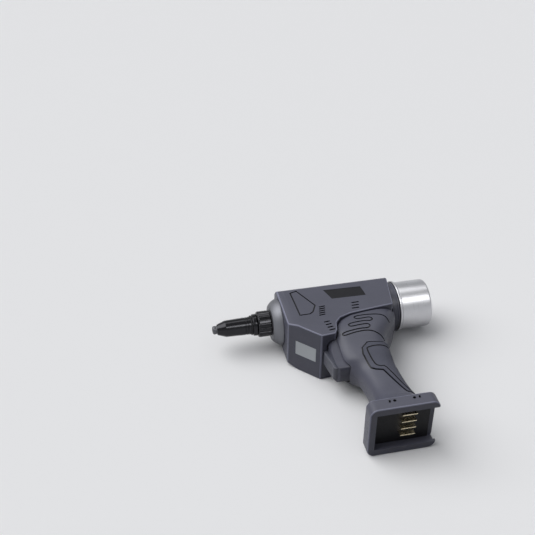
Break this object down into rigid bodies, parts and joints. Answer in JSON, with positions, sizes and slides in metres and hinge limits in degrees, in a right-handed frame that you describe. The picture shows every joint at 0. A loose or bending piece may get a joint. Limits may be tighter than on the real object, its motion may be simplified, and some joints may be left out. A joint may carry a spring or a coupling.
{
  "type": "battery rivet tool",
  "caption": "Cordless blind riveter with a pistol grip, screw-on nose barrel, pull-off mandrel collector and a slide-in battery foot, shown without its battery.",
  "frame": {"origin": "middle of the tool's box, on the floor that its right side lies on", "axes": "+X along the drive axis from the nose to the rear, -Y down the handle, +Z out of the left side"},
  "size_m": [0.25, 0.224, 0.062],
  "materials": {
    "housing_plastic": "fine matte texture",
    "soft_grip": "matte",
    "name_plate": "semi-gloss",
    "satin_metal": "satin",
    "collector_metal": "turned satin",
    "black_steel": "black oxide",
    "steel": "machined",
    "black_plastic": "matte",
    "seal_rubber": "matte",
    "contact_brass": "bright",
    "copper": "satin",
    "board": "lacquered",
    "lens": "clear moulded"
  },
  "bodies": {
    "tool": {"left_housing": "housing_plastic", "right_housing": "housing_plastic", "rear_collar": "housing_plastic", "back_grip": "soft_grip", "left_name_plate": "name_plate", "right_name_plate": "name_plate", "front_ring": "satin_metal", "gear_housing": "satin_metal", "gear_cover": "satin_metal", "guide_frame": "satin_metal", "motor_plate": "satin_metal", "nosepiece": "black_steel", "nose_barrel": "black_steel", "lock_nut": "black_steel", "housing_screws": "steel", "mandrel_tube": "steel", "thrust_bearing": "steel", "gear_cover_screws": "steel", "ring_gear": "steel", "pinion_bearings": "steel", "motor_can": "steel", "motor_bearings": "steel", "trigger_spring": "steel", "battery_shoe": "black_plastic", "motor_end_cap": "black_plastic", "trigger_switch": "black_plastic", "lead_wires": "black_plastic", "collector_seal": "seal_rubber", "nose_o_ring": "seal_rubber", "battery_contacts": "contact_brass", "stator": "copper", "nut_bushes": "copper", "controller_board": "board", "light_board": "board", "light_lens": "lens"},
    "trigger": {"trigger": "black_plastic", "switch_plunger": "black_plastic"},
    "rotor": {"rotor": "black_steel", "sun_pinion": "steel", "cooling_fan": "black_plastic"},
    "carrier": {"planet_carrier": "steel", "output_pinion": "steel", "planet_pins": "steel"},
    "planet_1": {"planet_gear_1": "steel"},
    "planet_2": {"planet_gear_2": "steel"},
    "planet_3": {"planet_gear_3": "steel"},
    "nut": {"ball_nut": "steel", "nut_gear": "steel", "nut_balls": "steel"},
    "puller": {"ball_screw": "steel", "jaw_case": "black_steel", "screw_guide": "steel", "jaw_spring": "steel"},
    "jaw_1": {"jaw_1": "steel"},
    "jaw_2": {"jaw_2": "steel"},
    "jaw_3": {"jaw_3": "steel"},
    "pusher": {"jaw_pusher": "steel"},
    "collector": {"mandrel_collector": "collector_metal"}
  },
  "joints": [
    {"name": "trigger_slide", "type": "slide", "parent": "tool", "child": "trigger", "axis": [1, 0, 0], "range_m": [0, 0.006], "stiffness_N_per_m": 800, "springref_m": -0.004, "deforming": ["trigger_spring"]},
    {"name": "rotor_spin", "type": "hinge", "parent": "tool", "child": "rotor", "pos_m": [-0.008, 0.04425, 0.031], "axis": [1, 0, 0], "range_deg": [0, 12240]},
    {"name": "carrier_spin", "type": "hinge", "parent": "tool", "child": "carrier", "pos_m": [-0.008, 0.04425, 0.031], "axis": [1, 0, 0], "range_deg": [0, 2448]},
    {"name": "planet_1_spin", "type": "hinge", "parent": "carrier", "child": "planet_1", "pos_m": [-0.008, 0.05475, 0.031], "axis": [1, 0, 0], "range_deg": [-6528, 0]},
    {"name": "planet_2_spin", "type": "hinge", "parent": "carrier", "child": "planet_2", "pos_m": [-0.008, 0.039, 0.04009], "axis": [1, 0, 0], "range_deg": [-6528, 0]},
    {"name": "planet_3_spin", "type": "hinge", "parent": "carrier", "child": "planet_3", "pos_m": [-0.008, 0.039, 0.02191], "axis": [1, 0, 0], "range_deg": [-6528, 0]},
    {"name": "nut_spin", "type": "hinge", "parent": "tool", "child": "nut", "pos_m": [-0.048, 0.078, 0.031], "axis": [1, 0, 0], "range_deg": [-1440, 0]},
    {"name": "screw_slide", "type": "slide", "parent": "tool", "child": "puller", "axis": [1, 0, 0], "range_m": [0, 0.02]},
    {"name": "pusher_slide", "type": "slide", "parent": "puller", "child": "pusher", "axis": [-1, 0, 0], "range_m": [0, 0.0028], "stiffness_N_per_m": 300, "springref_m": 0.006, "deforming": ["jaw_spring"]},
    {"name": "jaw_1_slide", "type": "slide", "parent": "puller", "child": "jaw_1", "axis": [-0.9791, -0.2034, 0], "range_m": [0, 0.003]},
    {"name": "jaw_2_slide", "type": "slide", "parent": "puller", "child": "jaw_2", "axis": [-0.9791, 0.1017, -0.1761], "range_m": [0, 0.003]},
    {"name": "jaw_3_slide", "type": "slide", "parent": "puller", "child": "jaw_3", "axis": [-0.9791, 0.1017, 0.1761], "range_m": [0, 0.003]},
    {"name": "collector_pull", "type": "slide", "parent": "tool", "child": "collector", "axis": [1, 0, 0], "range_m": [0, 0.045]}
  ],
  "couplings": [
    {"joint": "rotor_spin", "follows": "screw_slide", "rad_per_m": 10681},
    {"joint": "carrier_spin", "follows": "screw_slide", "rad_per_m": 2136.3},
    {"joint": "planet_1_spin", "follows": "screw_slide", "rad_per_m": -5696.7},
    {"joint": "planet_2_spin", "follows": "screw_slide", "rad_per_m": -5696.7},
    {"joint": "planet_3_spin", "follows": "screw_slide", "rad_per_m": -5696.7},
    {"joint": "nut_spin", "follows": "screw_slide", "rad_per_m": -1256.6},
    {"joint": "jaw_1_slide", "follows": "pusher_slide", "ratio": 1.0213},
    {"joint": "jaw_2_slide", "follows": "pusher_slide", "ratio": 1.0213},
    {"joint": "jaw_3_slide", "follows": "pusher_slide", "ratio": 1.0213}
  ]
}
